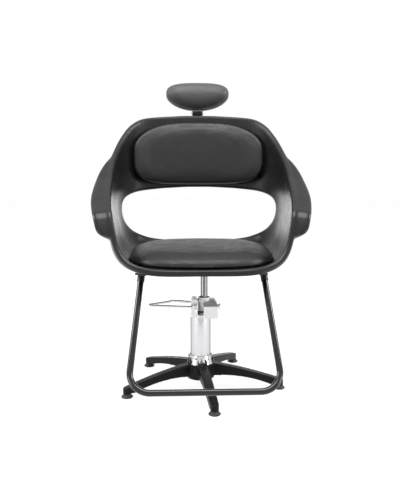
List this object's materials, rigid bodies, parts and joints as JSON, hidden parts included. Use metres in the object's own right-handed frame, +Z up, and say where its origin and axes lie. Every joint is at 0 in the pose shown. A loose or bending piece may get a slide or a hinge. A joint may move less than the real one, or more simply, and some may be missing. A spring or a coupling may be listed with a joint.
{
  "type": "threading chair",
  "caption": "Salon threading chair with a moulded bucket seat, armrests, padded headrest, loop footrest and a foot-pumped lift on a star base.",
  "frame": {"origin": "on the floor under the middle of the chair's outline, 40 mm in front of the column's axis", "axes": "+Z up; -Y is the way the sitter faces; +X is to the right in the picture, the sitter's left"},
  "size_m": [0.6982, 0.7796, 1.0378],
  "materials": {
    "base_black": "satin",
    "zinc": "satin",
    "glide_rubber": "matt",
    "bright_chrome": "polished",
    "pump_steel": "satin",
    "pump_casting": "polished",
    "black_rubber": "matt",
    "bronze": "satin",
    "bracket_black": "satin",
    "black_chrome": "polished",
    "shell_plastic": "satin",
    "plywood": "matt",
    "vinyl": "satin",
    "knob_plastic": "matt",
    "pad_vinyl": "satin"
  },
  "bodies": {
    "base": {"star_base": "base_black", "glide_stems": "zinc", "glide_pads": "glide_rubber", "base_skirt": "bright_chrome", "skirt_screws": "bright_chrome", "column_bolts": "zinc", "column_foot": "pump_steel", "column_tube": "bright_chrome", "lift_cylinder": "pump_steel", "pump_head": "pump_casting", "rod_gland": "bright_chrome", "rod_wiper": "black_rubber", "valve_plug": "bright_chrome", "pedal_axle": "zinc", "axle_caps": "zinc"},
    "pedal": {"pedal_loop": "bright_chrome", "pedal_cam": "bright_chrome"},
    "plunger": {"pump_plunger": "pump_steel"},
    "lift": {"piston_rod": "bright_chrome", "piston_seal": "black_rubber", "thrust_washer": "bronze"},
    "seat": {"seat_socket": "bracket_black", "swivel_bush": "bronze", "seat_plate": "bracket_black", "seat_bolts": "zinc", "footrest_brackets": "bracket_black", "footrest_bolts": "bracket_black", "footrest_tube": "black_chrome", "seat_shell": "shell_plastic", "seat_board": "plywood", "seat_cushion": "vinyl", "back_board": "plywood", "back_cushion": "vinyl", "headrest_guide": "bracket_black", "guide_screws": "zinc"},
    "knob": {"bar_knob": "knob_plastic"},
    "headrest_slider": {"headrest_bar": "bracket_black", "headrest_pin": "zinc"},
    "headrest": {"headrest_plate": "bright_chrome", "headrest_pad": "pad_vinyl"}
  },
  "joints": [
    {"name": "seat_lift", "type": "slide", "parent": "base", "child": "lift", "axis": [0, 0, 1], "range_m": [-0.055, 0.095]},
    {"name": "seat_swivel", "type": "hinge", "parent": "lift", "child": "seat", "pos_m": [0.012, 0.04, 0.4], "axis": [0, 0, 1], "continuous": true},
    {"name": "pedal_pump", "type": "hinge", "parent": "base", "child": "pedal", "pos_m": [-0.01874, 0.04, 0.28104], "axis": [0, -1, 0], "range_deg": [0, 20], "stiffness_Nm_per_rad": 4, "springref_deg": -20.05},
    {"name": "plunger_push", "type": "slide", "parent": "base", "child": "plunger", "axis": [1, 0, 0], "range_m": [0, 0.007]},
    {"name": "headrest_height", "type": "slide", "parent": "seat", "child": "headrest_slider", "axis": [0, 0.0957, 0.9954], "range_m": [0, 0.1]},
    {"name": "headrest_tilt", "type": "hinge", "parent": "headrest_slider", "child": "headrest", "pos_m": [0, 0.37123, 0.92823], "axis": [1, 0, 0], "range_deg": [-35, 20]},
    {"name": "knob_turn", "type": "hinge", "parent": "seat", "child": "knob", "pos_m": [0, 0.37065, 0.82079], "axis": [0, 0.9954, -0.0957], "range_deg": [0, 180]}
  ],
  "couplings": [
    {"joint": "plunger_push", "follows": "pedal_pump", "m_per_rad": 0.019}
  ]
}
